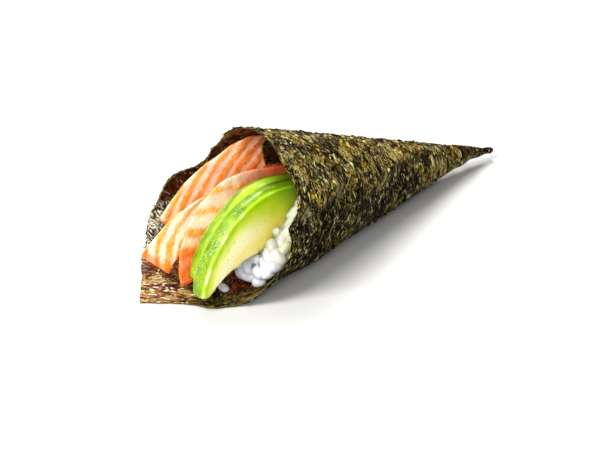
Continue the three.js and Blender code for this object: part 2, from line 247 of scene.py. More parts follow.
def loft(rings):
    """Points and faces of a closed body through rings of the same count, capped by fans."""
    count = len(rings[0])
    points = with_caps(rings)
    faces = grid_faces(len(rings), count, closed=True).tolist()
    first, last = len(points) - 2, len(points) - 1
    base = (len(rings) - 1) * count
    for k in range(count):
        following = (k + 1) % count
        faces += [(first, k, following), (last, base + following, base + k)]
    return facing_out(points, faces)


def facing_out(points, faces):
    """Turns all faces round if they were wound inwards."""
    volume = 0
    for face in faces:
        corners = points[list(face)]
        for k in range(1, len(face) - 1):
            volume += np.dot(corners[0], np.cross(corners[k], corners[k + 1]))
    return points, (faces if volume > 0 else [face[::-1] for face in faces])


# ---- Shader helpers ----
def colour(red, green, blue):
    """A colour given as it looks on a screen, 0 to 255, in the renderer's own scale."""
    parts = np.array([red, green, blue]) / 255
    linear = np.where(parts <= 0.04045, parts / 12.92, ((parts + 0.055) / 1.055) ** 2.4)
    return (*linear.tolist(), 1.0)


class Bench:
    """Places shader nodes in one tree; an input is given as a value or as the signal that feeds it."""

    def __init__(self, tree):
        self.tree = tree

    def wire(self, socket, value):
        if isinstance(value, Signal):
            self.tree.links.new(value.socket, socket)
        else:
            socket.default_value = value

    def place(self, kind, inputs=None, **settings):
        node = self.tree.nodes.new("ShaderNode" + kind)
        for name, value in settings.items():
            setattr(node, name, value)
        for name, value in (inputs or {}).items():
            self.wire(node.inputs[name], value)
        return node

    def put(self, kind, output, inputs=None, **settings):
        return Signal(self, self.place(kind, inputs, **settings).outputs[output])

    def maths(self, operation, *values):
        return self.put("Math", 0, dict(enumerate(values)), operation=operation)

    def stored(self, name, vector=False):
        return self.put("Attribute", "Vector" if vector else "Fac", attribute_name=name)

    def bump(self, height, strength, distance):
        return self.put("Bump", "Normal", {"Height": height, "Strength": strength, "Distance": distance})

    def effect(self, group, **inputs):
        """A shared effect placed with its own inputs; its outputs by name."""
        named = {name.replace("_", " "): value for name, value in inputs.items()}
        node = self.place("Group", named, node_tree=group)
        return {socket.name: Signal(self, socket) for socket in node.outputs}

    def layers(self, base, *covers):
        """A base colour with others laid over it, each given as (share, colour)."""
        for share, cover in covers:
            shades = [colour(*shade) if isinstance(shade, tuple) else shade for shade in (base, cover)]
            base = self.put("Mix", 2, {0: share, 6: shades[0], 7: shades[1]}, data_type="RGBA")
        return base


class Signal:
    """What a shader node puts out; sums and products of signals are Math nodes."""

    def __init__(self, bench, socket):
        self.bench = bench
        self.socket = socket

    def __add__(self, other):
        return self.bench.maths("ADD", self, other)

    def __sub__(self, other):
        return self.bench.maths("SUBTRACT", self, other)

    def __rsub__(self, other):
        return self.bench.maths("SUBTRACT", other, self)

    def __mul__(self, other):
        return self.bench.maths("MULTIPLY", self, other)

    def __rtruediv__(self, other):
        return self.bench.maths("DIVIDE", other, self)

    def vector_maths(self, operation, other):
        slot = "Scale" if operation == "SCALE" else 1
        return self.bench.put("VectorMath", 0, {0: self, slot: other}, operation=operation)

    def span(self, low, high, to_low=0.0, to_high=1.0, easing="SMOOTHSTEP"):
        """The value from low to high, eased into to_low to to_high."""
        return self.bench.put("MapRange", "Result", {
            "Value": self, "From Min": low, "From Max": high, "To Min": to_low, "To Max": to_high,
        }, interpolation_type=easing)

    def noise(self, scale, detail=3.0, roughness=0.55, distortion=0.0):
        """Noise at a place; a scale of three numbers stretches it."""
        place = self
        if isinstance(scale, tuple):
            place, scale = self.vector_maths("MULTIPLY", scale), 1.0
        return self.bench.put("TexNoise", "Fac", {"Vector": place, "Scale": scale, "Detail": detail,
                                                  "Roughness": roughness, "Distortion": distortion})

    def ramp(self, *stops):
        """Colours along 0 to 1, each stop given as (place, red, green, blue)."""
        node = self.bench.place("ValToRGB", {"Fac": self})
        elements = node.color_ramp.elements
        while len(elements) < len(stops):
            elements.new(0.5)
        for element, (place, *shade) in zip(elements, stops):
            element.position = place
            element.color = colour(*shade)
        return Signal(self.bench, node.outputs["Color"])


def shared_effect(name, numbers, build):
    """A node group with a vector and the given numbers as inputs.

    `build` gets a bench and the inputs by name, and gives the outputs by name.
    """
    tree = bpy.data.node_groups.new(name, "ShaderNodeTree")
    tree.interface.new_socket("Vector", in_out="INPUT", socket_type="NodeSocketVector")
    for label, value in numbers.items():
        socket = tree.interface.new_socket(label, in_out="INPUT", socket_type="NodeSocketFloat")
        socket.default_value = value
    bench = Bench(tree)
    given = tree.nodes.new("NodeGroupInput")
    results = build(bench, {label: Signal(bench, given.outputs[label]) for label in ("Vector", *numbers)})
    for label in results:
        tree.interface.new_socket(label, in_out="OUTPUT", socket_type="NodeSocketFloat")
    output = tree.nodes.new("NodeGroupOutput")
    for label, value in results.items():
        bench.wire(output.inputs[label], value)
    return tree


def make_material(name, principled, paint=None):
    """A material with one Principled shader, whose plain sockets are set directly.

    `paint` gets a bench and gives the sockets that vary over the surface, by name.
    """
    material = bpy.data.materials.new(name)
    material.use_nodes = True
    material.node_tree.nodes.clear()
    bench = Bench(material.node_tree)
    shader = bench.place("BsdfPrincipled", principled)
    bench.place("OutputMaterial", {"Surface": Signal(bench, shader.outputs[0])})
    for label, value in (paint(bench) if paint else {}).items():
        bench.wire(shader.inputs[label], value)
    return material


# ---- Shared effects ----
def pressed_seaweed(bench, given):
    """Threads, grains and patches of a dried sheet; the vector is in millimetres, X along the fibres."""
    vector = given["Vector"]
    along = 1.0 / given["Grain Length"]
    across = 1.0 / given["Grain Width"]
    stretch = bench.put("CombineXYZ", 0, {"X": along, "Y": across, "Z": along})
    bend = bench.put("TexNoise", "Color", {"Vector": vector, "Scale": 0.35, "Detail": 3.0})
    threads = vector.vector_maths("MULTIPLY", stretch).vector_maths("ADD", bend.vector_maths("SCALE", 2.6))
    grains, sparks, flecks = [], [], []
    for scale in (1.0, 1.9):
        cells = bench.put("TexVoronoi", "Color", {"Vector": threads, "Scale": scale})
        parts = bench.place("SeparateColor", {"Color": cells}).outputs
        for group, socket in zip((grains, flecks, sparks), parts):
            group.append(Signal(bench, socket))
    strands = threads.noise(0.55, roughness=0.6)
    spread = vector.vector_maths("SCALE", 1.0 / given["Patch Size"])
    patches = spread.noise(1.0, detail=4.0, roughness=0.6, distortion=0.8)
    hues = spread.vector_maths("ADD", (17.3, 9.1, 4.4)).noise(1.25, roughness=0.6)
    grain = grains[0] * 0.62 + grains[1] * 0.38
    return {
        "Tone": grain + (strands - 0.5) * 1.1 + (patches - 0.5) * given["Patch Depth"],
        "Grain Hue": flecks[1] * 0.25 + hues * 0.75,
        "Sparks": sparks[0],
        # thin pale lines along the grain, partly fibres and partly painted glints
        "Hair Glints": threads.noise((0.13, 0.75, 0.13), detail=2.0),
        "Patches": patches,
        "Height": grain * 0.8 + strands * 0.8,
    }


def wet_speckle(bench, given):
    """Tiny wet beads and grains on a cut surface; the vector is in millimetres."""
    spread = given["Vector"].vector_maths("SCALE", 1.0 / given["Bead Size"])
    fine = spread.noise(1.0, roughness=0.6)
    low = 1.0 - given["Cover"]
    beaded = spread.noise(0.13, detail=2.0).span(low, low + 0.15, easing="LINEAR")
    beads = fine.span(0.52, 0.68) * beaded
    return {"Beads": beads, "Height": fine * 0.35 + beads}


seaweed = shared_effect("pressed seaweed", {
    "Grain Length": 1.2, "Grain Width": 0.45, "Patch Size": 5.0, "Patch Depth": 1.0}, pressed_seaweed)
speckle = shared_effect("wet speckle", {"Bead Size": 0.5, "Cover": 0.5}, wet_speckle)


# ---- Materials ----
def smooth_side(bench):
    weave = bench.stored("weave", vector=True)
    sheet = bench.effect(seaweed, Vector=weave, Grain_Length=0.7, Grain_Width=0.42, Patch_Size=6.5,
                         Patch_Depth=2.5)
    tone, hue = sheet["Tone"], sheet["Grain Hue"]
    olive = tone.ramp((0.28, 16, 5, 0), (0.48, 46, 26, 2), (0.62, 80, 64, 4), (0.76, 130, 116, 14),
                      (0.94, 204, 196, 88))
    violet = tone.ramp((0.26, 14, 8, 5), (0.46, 52, 38, 28), (0.66, 94, 78, 64), (0.90, 150, 136, 116))
    russet = tone.ramp((0.26, 12, 5, 1), (0.46, 48, 25, 3), (0.66, 112, 70, 6), (0.90, 186, 140, 36))
    broad = weave.noise((0.07, 0.05, 0.07))
    spark = sheet["Sparks"].span(0.93, 0.95)
    shade = bench.layers(
        olive,
        (hue.span(0.53, 0.58), violet),
        (hue.span(0.46, 0.41), russet),
        (broad.span(0.5, 0.36, 0.0, 0.75), (28, 19, 5)),
        (broad.span(0.52, 0.66) * tone.span(0.4, 0.8, 0.1, 0.7), (196, 186, 116)),
        # painted shade: the sheet below the soft fold darkened towards near black
        (bench.stored("shade_below_fold") * tone.span(0.55, 1.0, 0.95, 0.6), (15, 5, 0)),
        # thin pale lines along the grain, partly fibres and partly painted glints
        (sheet["Hair Glints"].span(0.64, 0.68, 0.0, 0.6), (176, 168, 110)),
        (spark * 0.6, (214, 208, 140)),
        # painted highlight: golden glints along the torn rim
        (bench.stored("rim") * tone.span(0.5, 0.62, 0.1, 0.8), (176, 156, 56)))
    return {"Base Color": shade, "Roughness": tone.span(0.3, 0.7, 0.75, 0.45), "Coat Weight": spark,
            "Normal": bench.bump(sheet["Height"], 1.0, 0.0004)}


def rough_side(bench):
    sheet = bench.effect(seaweed, Vector=bench.stored("weave", vector=True), Grain_Length=1.1,
                         Grain_Width=0.34, Patch_Size=4.0, Patch_Depth=1.2)
    tone, hue = sheet["Tone"], sheet["Grain Hue"]
    deep_shade, sheen_patch, lit_flap = bench.stored("deep_shade"), bench.stored("sheen_patch"), bench.stored("lit_open_flap")
    brown = tone.ramp((0.26, 26, 6, 0), (0.46, 84, 25, 0), (0.66, 128, 46, 0), (0.90, 168, 92, 20))
    green = tone.ramp((0.26, 20, 14, 4), (0.46, 56, 46, 10), (0.66, 98, 88, 30), (0.90, 166, 156, 90))
    dark_green = bench.layers(green, (tone.span(0.5, 0.85, 0.8, 0.2), (18, 12, 2)))
    tan = tone.ramp((0.22, 66, 28, 4), (0.42, 118, 68, 26), (0.62, 158, 106, 52), (0.86, 216, 184, 138))
    golden = tone.ramp((0.22, 40, 28, 2), (0.42, 88, 70, 12), (0.62, 132, 112, 30), (0.86, 206, 192, 112))
    # painted sheen: grey-green tones running to near white, for the patch that catches the light
    sheen_tones = tone.ramp((0.26, 26, 23, 12), (0.46, 76, 73, 46), (0.62, 162, 160, 126),
                       (0.80, 246, 246, 232))
    spark = sheet["Sparks"].span(0.92, 0.94)
    shade = bench.layers(
        brown,
        (hue.span(0.56, 0.64) * deep_shade.span(0, 1, 1.0, 0.25), green),
        (bench.stored("foot_edge") * 0.9, dark_green),
        # painted light: lighter tan patches on the open flap and the lip, a lit copy of the brown rough side
        (lit_flap * sheet["Patches"].span(0.4, 0.54) * 0.85, bench.layers(tan, (hue.span(0.49, 0.55), golden))),
        # painted shade: the back leaf behind the fillings and the inner end's curl darkened to black brown
        (deep_shade * 0.72, (26, 8, 0)),
        (sheen_patch, sheen_tones),
        # painted highlight: golden glints along the torn rim
        (bench.stored("rim") * tone.span(0.46, 0.6, 0.1, 0.8), (150, 124, 44)),
        # painted glints: near white sparks on the open flap
        (spark * lit_flap.span(0, 1, 0.15, 0.9), (244, 236, 220)))
    return {"Base Color": shade, "Roughness": tone.span(0.3, 0.7, 0.65, 0.4),
            "Coat Weight": bench.maths("MAXIMUM", sheen_patch * 0.8, spark),
            "Normal": bench.bump(sheet["Height"], 0.9, 0.0004)}


def banded_salmon(bench):
    place = bench.stored("flesh", vector=True)
    shaded, pinkness = bench.stored("shade"), bench.stored("pinkness")
    wobble = place.noise(0.22)
    shift = wobble * 0.5 + place.noise(1.1, roughness=0.6) * 0.14
    cycle = bench.maths("FRACT", bench.stored("bands") + shift)
    ridge = bench.maths("ABSOLUTE", cycle - 0.5) * 2.0
    width = bench.stored("fat_width") + place.noise(0.15, detail=2.0).span(0.38, 0.62, -0.16, 0.16)
    fat = ridge.span(width + 0.34, width - 0.24)
    strands = place.noise((0.5, 2.2, 2.2))
    tint = strands * 0.5 + wobble * 0.5
    flesh = tint.ramp((0.40, 242, 134, 30), (0.50, 250, 160, 58), (0.60, 253, 184, 96))
    rich = bench.layers((230, 88, 0), (pinkness, (198, 58, 0)))
    cream = tint.ramp((0.38, 252, 196, 156), (0.60, 255, 220, 194))
    wet = bench.effect(speckle, Vector=place, Bead_Size=0.36, Cover=0.6)
    tone = bench.layers(
        flesh,
        (shaded, rich),
        (fat * bench.stored("fatness"), bench.layers(cream, (pinkness * 0.6, (252, 196, 172)))),
        # painted highlights: near white wet glints on the beads, fewer where the slice is shaded
        (wet["Beads"] * bench.stored("wet_glints") * shaded.span(0.3, 0.75, 1.0, 0.1), (255, 252, 248)))
    return {"Base Color": tone, "Roughness": shaded.span(0.2, 0.75, 0.32, 0.7),
            "Coat Weight": wobble.span(0.4, 0.6, 0.4, 1.0) * shaded.span(0.2, 0.75, 1.0, 0.05),
            "Normal": bench.bump(wet["Height"] + strands * 0.3, 0.9, 0.0005)}


def cut_avocado(bench):
    place = bench.stored("flesh", vector=True)
    skin_side, sheen_and_glints = bench.stored("skin_side"), bench.stored("sheen_and_glints")
    drift = place.noise((0.10, 0.25, 0.25))
    veined = place.noise((0.22, 0.8, 0.8), detail=4.0, roughness=0.6)
    level = bench.stored("from_skin") + (drift - 0.5) * 0.24 + (veined - 0.5) * 0.22
    fresh = level.ramp((0.0, 136, 180, 2), (0.14, 176, 208, 18), (0.28, 216, 230, 84), (0.44, 248, 244, 156),
                       (0.62, 252, 248, 200), (0.85, 254, 246, 182), (1.0, 253, 238, 144))
    olive = level.ramp((0.0, 148, 202, 0), (0.20, 180, 216, 4), (0.42, 208, 224, 38), (0.70, 244, 230, 92),
                       (1.0, 244, 218, 56))
    mottled = place.noise((0.25, 0.5, 0.5), detail=5.0, roughness=0.6)
    skin = bench.layers(
        mottled.ramp((0.30, 60, 100, 0), (0.46, 90, 126, 0), (0.60, 118, 148, 0), (0.74, 144, 168, 4)),
        (bench.stored("fresh_cut"), (168, 206, 30)),
        # painted sheen: pale flecks over the skin side
        (place.noise(3.4, detail=2.0, roughness=0.7).span(0.46, 0.64) * sheen_and_glints, (176, 204, 80)))
    dots = place.noise((0.5, 0.9, 0.9), detail=2.0)
    wet = bench.effect(speckle, Vector=place, Bead_Size=0.42, Cover=0.52)
    tone = bench.layers(
        fresh,
        (bench.stored("ripe"), olive),
        (skin_side, skin),
        (dots.span(0.66, 0.72, 0.0, 0.6), (170, 206, 20)),
        (bench.stored("shaded"), (62, 78, 0)),
        (bench.stored("glint") * 0.6, (240, 250, 208)),
        # painted highlights: near white wet glints on the skin side
        (wet["Beads"] * sheen_and_glints * skin_side, (244, 250, 232)))
    return {"Base Color": tone, "Roughness": skin_side.span(0, 1, 0.42, 0.32),
            "Coat Weight": wet["Beads"] * 0.6,
            "Normal": bench.bump(wet["Height"] * skin_side + veined * 0.35, 0.5, 0.0004)}


def steamed_grains(bench):
    place = bench.stored("flesh", vector=True)
    own_tone, tinge = bench.stored("grain_tone"), bench.stored("tinge")
    white = own_tone.ramp((0.0, 192, 196, 204), (1.0, 208, 210, 215))
    tinged = own_tone.ramp((0.0, 118, 120, 20), (1.0, 140, 139, 40))
    crevice_shade = bench.layers((150, 152, 162), (tinge, (146, 142, 60)))
    # painted shade: grey-blue in the crevices where grains meet
    tone = bench.layers(white, (tinge, tinged), (bench.stored("between") * 0.32, crevice_shade))
    wet = bench.effect(speckle, Vector=place, Bead_Size=0.8, Cover=0.5)
    return {"Base Color": tone, "Coat Weight": place.noise(0.45).span(0.4, 0.6, 0.05, 0.4),
            "Normal": bench.bump(wet["Height"], 0.25, 0.0003)}


nori_smooth = make_material("roasted nori, smooth side", {
    "IOR": 1.48, "Specular IOR Level": 0.03, "Coat Roughness": 0.3, "Coat IOR": 1.45}, smooth_side)
nori_rough = make_material("roasted nori, rough side", {
    "IOR": 1.5, "Specular IOR Level": 0.08, "Coat Roughness": 0.25, "Coat IOR": 1.45}, rough_side)
salmon_flesh = make_material("raw salmon", {
    "Subsurface Weight": 0.3, "Subsurface Radius": (1.0, 0.45, 0.2), "Subsurface Scale": 0.0015,
    "IOR": 1.4, "Specular IOR Level": 0.2, "Coat Roughness": 0.1, "Coat IOR": 1.4}, banded_salmon)
avocado_flesh = make_material("ripe avocado", {
    "Subsurface Weight": 0.2, "Subsurface Radius": (0.8, 0.7, 0.25), "Subsurface Scale": 0.0012,
    "IOR": 1.42, "Specular IOR Level": 0.3, "Coat Roughness": 0.14}, cut_avocado)
rice_white = make_material("steamed rice", {
    "Subsurface Weight": 0.5, "Subsurface Radius": (1.0, 0.97, 0.94), "Subsurface Scale": 0.0012,
    "Roughness": 0.36, "IOR": 1.42, "Specular IOR Level": 0.3, "Coat Roughness": 0.15}, steamed_grains)


# ---- Nori ----
def sheet_offset(turn):
    return -NORI_PITCH * (turn + FACE_TURN) / 360


def on_curl(reach, turn, side):
    """The inner end, which leaves the roll, bends down in a small arc and then hangs on.

    `side` is how far out of the sheet's middle the point lies.
    """
    out = sheet_offset(CURL_START) + wave(reach, CURL_START)
    axial = reach * np.cos(HALF_ANGLE) - out * np.sin(HALF_ANGLE)
    radius = reach * np.sin(HALF_ANGLE) + out * np.cos(HALF_ANGLE)
    travelled = np.radians(turn - CURL_START) * radius
    bend = smoothstep(reach, 60, 98) / CURL_RADIUS + 1 / radius
    arc = np.minimum(travelled, CURL_RADIUS * CURL_BEND / (1 + CURL_RADIUS / radius))
    bent = arc * bend
    after = bent + (travelled - arc) / radius
    along = np.sin(bent) / bend + radius * (np.sin(after) - np.sin(bent))
    inward = (1 - np.cos(bent)) / bend + radius * (np.cos(bent) - np.cos(after))
    outward = round_axis(0, 1, CURL_START) - round_axis(0, 0, CURL_START)
    onward = round_axis(0, 1, CURL_START + 90) - round_axis(0, 0, CURL_START)
    start = round_axis(axial, radius, CURL_START)
    return start + onward * (along + side * np.sin(after))[..., None] \
        + outward * (side * np.cos(after) - inward)[..., None]


def sheet_floor(turn):
    half_contact = 50
    turns_done = (turn + half_contact) / 360
    whole = np.floor(turns_done)
    climb = smoothstep(turns_done - whole, half_contact / 180, 1)
    return NORI_PITCH * np.maximum(0, whole + climb)


SHEET_STEP = 1.2  # degrees between the sheet's rows of points
SHEET_FROM = 14  # how far from the tip the sheet comes free of the twist
SHEET_ROWS = 124  # the last of its rows, before they are stretched to the rim
LOOSE_THREADS = 4200
RIM_THREADS = 900
THREAD_LENGTH = (0.7, 2.3)
THREAD_WIDTH = (0.18, 0.36)
THREAD_RINGS = 5
FIBRES_ROUND_AT = 130  # the turn where the sheet's fibres run straight round the cone

# A soft fold along the side that shows: [distance from the tip, turn in degrees].
FOLD = np.array([[0, 144], [47, 142], [55, 118], [62, 108], [68, 107], [75, 114], [80, 120], [86, 115],
                 [92, 109], [107, 104], [125, 100]])


def above_fold(reach, turn):
    """How far round above the soft fold a point lies, in millimetres."""
    return np.radians(around_once(turn) - read_along(FOLD, reach)) * reach * np.sin(HALF_ANGLE)


def shade_below_fold(reach, turn):
    """1 where painted shade darkens the sheet below the soft fold, 0 above it."""
    uneven = 1.4 * lumps(flat_sheet(reach, turn), 6.0, 47)
    return fade(above_fold(reach, turn) + uneven, -3.5, 0.5) * smoothstep(reach, 20, 60)


def creases(reach, turn):
    """Slow bulges and dents of the dried sheet, alike in every turn so that the turns never meet."""
    plain = round_axis(reach * np.cos(HALF_ANGLE), reach * np.sin(HALF_ANGLE), turn)
    upper = smoothstep(plain[..., 2], 2, 12)
    slow = 0.45 * lumps(plain * (1.0, 1.0, 1.3), 15, 11)
    quick = 0.24 * rough(plain, 6.0, 23, 3)
    past_fold = above_fold(reach, turn) + 0.9 * lumps(plain, 5.0, 27)
    fold = 0.7 * np.exp(-((past_fold - 1.0) / 2.4) ** 2) - 0.7 * np.exp(-((past_fold + 3.0) / 2.8) ** 2)
    pinch = 0.8 * bump_at(reach, 92, 7, turn, 58, 16) - 0.7 * bump_at(reach, 110, 6, turn, 40, 12)
    return smoothstep(reach, 16, 50) * upper * (slow + quick + fold) + pinch


def bump_at(reach, reach_middle, reach_width, turn, turn_middle, turn_width):
    """1 at a place on the sheet, fading away from it, alike in every turn."""
    off = around_once(turn) - turn_middle
    return np.exp(-((reach - reach_middle) / reach_width) ** 2 - (off / turn_width) ** 2)


def flat_sheet(reach, turn):
    """Places on the sheet before it was rolled, X along its fibres."""
    angle = np.radians(turn - FIBRES_ROUND_AT) * np.sin(HALF_ANGLE)
    return joined(reach * np.sin(angle), reach * np.cos(angle), 0)


def sheet_relief(reach, turn):
    """How far the dried sheet stands out of its plain cone, with its fine grain."""
    grain = 0.11 * rough(flat_sheet(reach, turn) * (0.5, 1.0, 1), 2.4, 41, 2)
    return creases(reach, turn) + grain * smoothstep(reach, SHEET_FROM, 30)


def outer_face(reach, turn, lift):
    """A point on the sheet's smooth side, `lift` above it."""
    out = sheet_offset(turn) + 0.5 * NORI_THICKNESS + sheet_relief(reach, turn) + lift
    return on_cone(reach, turn, out, sheet_floor(turn))


def ragged(turn, amount):
    """How the torn and dried rim runs in and out, in millimetres."""
    places = joined(turn * 0.42, 0, 0)
    waves = ((0.5, 5.5, 31), (0.5, 1.7, 32), (0.55, 0.8, 33))
    return amount * sum(height * lumps(places, size, seed) for height, size, seed in waves)


def rolled_sheet():
    """The rolled sheet as one thin solid: the smooth side out, the rough side in."""
    turns = np.linspace(ROLL_START, ROLL_END, int((ROLL_END - ROLL_START) / SHEET_STEP) + 1)
    steps = np.concatenate([np.linspace(SHEET_FROM, 100, 50), np.linspace(101.4, 121.4, 21),
                            [122.4, 123.0, 123.5, SHEET_ROWS]])
    turn, row = np.meshgrid(turns, steps, indexing="ij")
    rim = (read_along(RIM, turns) + ragged(turns, 0.55))[:, None]
    reach = lerp(row, row * (rim / SHEET_ROWS), smoothstep(row, SHEET_FROM, 64))
    relief = sheet_relief(reach, turn)
    place = flat_sheet(reach, turn)
    points = []
    for out, floor in ((0.5 * NORI_THICKNESS, 0), (-0.5 * NORI_THICKNESS, NORI_THICKNESS)):
        rolled = on_cone(reach, turn, sheet_offset(turn) + (out + relief), sheet_floor(turn) + floor)
        curled = on_curl(reach, np.maximum(turn, CURL_START), out + relief)
        points.append(np.where(turn[..., None] > CURL_START, curled, rolled).reshape(-1, 3))
    number = np.arange(turn.size).reshape(turn.shape)
    border = np.concatenate([number[:, 0], number[-1, 1:], number[-2::-1, -1], number[0, -2::-1]])
    start, end = border[:-1], border[1:]
    face_sets = [grid_faces(*turn.shape), grid_faces(*turn.shape, start=turn.size, flip=True),
                 joined(start, start + turn.size, end + turn.size, end)]
    sides = np.repeat([0, 1, 0], [len(faces) for faces in face_sets])
    values = {name: np.tile((value + 0 * reach).ravel(), 2)
              for name, value in sheet_values(reach, turn, rim - reach, place).items()}
    values["weave"] = np.concatenate([place, place + (0, 0, 40)]).reshape(-1, 3)
    return np.concatenate(points), np.concatenate(face_sets).tolist(), values, sides


def sheet_values(reach, turn, from_rim, place):
    """What the sheet's materials read: 1 at a feature, 0 away from it."""
    once = around_once(turn)
    uneven = 6 * lumps(place, 5.0, 49)
    near_rim = fade(from_rim, 5.0, 9.0)
    back_leaf = smoothstep(once, -150, -112) * fade(once, -78, -66)
    # painted highlight along the rim of the second turn, where it lies over the flap
    lip_highlight = fade(np.abs(turn - 358), 14, 34) * fade(from_rim, 1.2, 3.4)
    foot_edge = smoothstep(once + uneven, 4, 16) * fade(from_rim, 4.0, 7.0)
    # painted light: the open flap and the lip get the lighter, lit tan of the rough side
    lit_open_flap = (0.9 * lip_highlight + fade(np.abs(turn) + uneven, 22, 36)) * (1 - foot_edge)
    return {
        # painted highlight along the torn rim
        "rim": fade(from_rim, 0.05, 0.5),
        # painted sheen: a patch near the rim on the far side, lightened where the sheet catches the light
        "sheen_patch": smoothstep(once, -82, -72) * fade(once, -52, -42) * near_rim,
        "lit_open_flap": np.clip(lit_open_flap, 0, 1),
        # painted shade below the soft fold
        "shade_below_fold": shade_below_fold(reach, turn),
        # painted shade deep in the mouth, on the back leaf and on the inner end's curl
        "deep_shade": np.maximum(back_leaf, smoothstep(turn, 480, 510)),
        "foot_edge": foot_edge,
    }


def twisted_tip():
    """The pressed turns at the tip, ending in a thin twist."""
    places = np.concatenate([np.linspace(-TIP_OVERRUN, SHEET_FROM, 48), np.linspace(14.8, CORE_REACH, 16)])
    turns = np.arange(ROLL_START, ROLL_START + 360, 5)
    place, turn = np.meshgrid(places, turns, indexing="ij")
    swell = TIP_SWELL * fade(place, SHEET_FROM, 20)
    twist = np.maximum(0, 12 - place) * 9
    fold = 0.14 * smoothstep(13 - place, 0, 3)
    ridge = 1 + fold * np.cos(np.radians(3 * (turn + twist)))
    radius = np.maximum(TIP_RADIUS, place * np.sin(HALF_ANGLE) + sheet_offset(turn) + swell) * ridge
    radius = radius + 0.25 * fade(place, 2, 9)
    points = round_axis(place * np.cos(HALF_ANGLE), radius, turn)
    points[..., 2] -= read_along(TIP_SINK, place)
    points += 0.22 * (rough(points, 2.2, 51, 3) * fade(place, 13, 20))[..., None]
    weave = joined(1.6 * np.radians(turn), place, 0).reshape(-1, 3)
    shape, faces = loft(points)
    return shape, faces, np.concatenate([weave, weave[:1], weave[-1:]])


def nori_sheet():
    points, quads, values, sides = rolled_sheet()
    tip_points, tip_faces, tip_weave = twisted_tip()
    shape, faces = facing_out(points, quads)
    faces += [tuple(corner + len(points) for corner in face) for face in tip_faces]
    tip_values = {name: np.zeros(len(tip_points)) for name in values}
    tip_values["weave"] = tip_weave
    values = {name: np.concatenate([value, tip_values[name]]) for name, value in values.items()}
    make_piece("nori_rolled", np.concatenate([shape, tip_points]), faces, [nori_smooth, nori_rough],
               "nori_sheet", values, [*sides, *[0] * len(tip_faces)])


def nori_threads():
    """Thin seaweed threads that stand a little out of the smooth side and of the torn rim."""
    random = np.random.default_rng(19)
    count = LOOSE_THREADS + RIM_THREADS
    turn = random.uniform(ROLL_START + 3, ROLL_START + 357, count)
    rim = read_along(RIM, turn)
    reach = np.maximum(15, rim * np.sqrt(random.random(count)) - 0.4)
    at_rim = np.arange(count) >= LOOSE_THREADS
    reach = np.where(at_rim, rim + random.uniform(-0.7, 0.15, count), reach)
    heading = np.radians(random.normal(0, np.where(at_rim, 24, 14)))
    slope = np.gradient(read_along(RIM, turn + np.array([[-1], [1]])), axis=0)[0] / np.radians(1)
    along_rim = np.arctan2(slope, reach * np.sin(HALF_ANGLE))
    heading = heading + np.where(at_rim, along_rim, 0)
    length = random.uniform(*THREAD_LENGTH, count) * smoothstep(reach, 0, 40)
    width = random.uniform(*THREAD_WIDTH, count)
    height = random.uniform(0.04, 0.26, count) + 0.3 * (random.random(count) > 0.93)
    flat = flat_sheet(reach, turn)[:, :2]
    turned = np.radians(turn - FIBRES_ROUND_AT) * np.sin(HALF_ANGLE) * at_rim
    direction = joined(np.cos(heading - turned), np.sin(heading - turned))
    across = joined(-direction[:, 1], direction[:, 0])
    rings = []
    for share in np.linspace(-1, 1, THREAD_RINGS):
        middle = flat + direction * (0.5 * share * length)[:, None]
        half = (0.5 * width * (1 - 0.85 * share ** 2))[:, None]
        lift = 0.02 + height * (1 - share ** 2)
        ring = []
        for side, raised in ((-1, -0.06), (0, lift), (1, -0.06)):
            place = middle + side * half * across
            angle = np.arctan2(place[:, 0], place[:, 1])
            turn_there = FIBRES_ROUND_AT + np.degrees(angle / np.sin(HALF_ANGLE))
            ring.append(outer_face(size_of(place), turn_there, raised))
        rings.append(np.stack(ring, 1))
    points = np.stack(rings, 1)
    off_table = points[..., 2].min((1, 2)) > 0.6
    points, flat, low = points[off_table], flat[off_table], shade_below_fold(reach, turn)[off_table]
    corners = 3 * THREAD_RINGS
    one = grid_faces(THREAD_RINGS, 3, closed=True).tolist()
    one += [(2, 1, 0), (corners - 3, corners - 2, corners - 1)]
    weave = joined(*flat.T, 0) + random.uniform(0, 60, (len(flat), 3))
    make_piece("nori_threads", points.reshape(-1, 3), copied_faces(one, corners, len(points)), [nori_smooth],
               "nori_sheet", {"weave": np.repeat(weave, corners, axis=0),
                                      "rim": np.zeros(corners * len(points)),
                                      "shade_below_fold": np.repeat(low, corners)})


# ---- Fillings ----
SALMON_THICKNESS = 3.4

# How deep an avocado slice is from skin to stone: [share of its length, millimetres].
HALF_MOON = np.array([[0, 2.5], [0.08, 6], [0.2, 10.6], [0.36, 14.8], [0.52, 16.4], [0.66, 15.2],
                      [0.8, 11.6], [0.92, 7.2], [1, 3]])

# How much the fresh cut along each avocado slice's edge widens upwards, in millimetres.
CUT_GROWTH = {"avocado_slice_1": 0, "avocado_slice_2": 1.0}

# The directions across and up in the view that shows the roll's near side and its mouth.
VIEW_RIGHT = np.array([-0.71566, 0.69845, 0.0])
VIEW_UP = np.array([-0.3062, -0.3137, 0.8988])


def close_up(points):
    """Inside the mouth all fillings close up towards the tip, with a soft bend where they start to."""
    past = points[..., 0] / MOUTH_REACH - 1
    share = 1 + 0.5 * (past - np.sqrt(past ** 2 + 0.07 ** 2))
    return joined(points[..., 0], points[..., 1] * share, TIP_HEIGHT + (points[..., 2] - TIP_HEIGHT) * share)


def arc_edge(centre, radius, start_degrees):
    """The outer edge of a slice seen from the side: an arc up to the top, then straight into the cone."""
    start = np.radians(start_degrees)
    arc_length = radius * (np.pi / 2 - start)

    def read(travelled):
        angle = np.minimum(start + travelled / radius, np.pi / 2)
        out = joined(np.cos(angle), np.sin(angle))
        place = np.array(centre) + radius * out
        place[..., 0] -= np.maximum(0, travelled - arc_length)
        return place, out
    return read


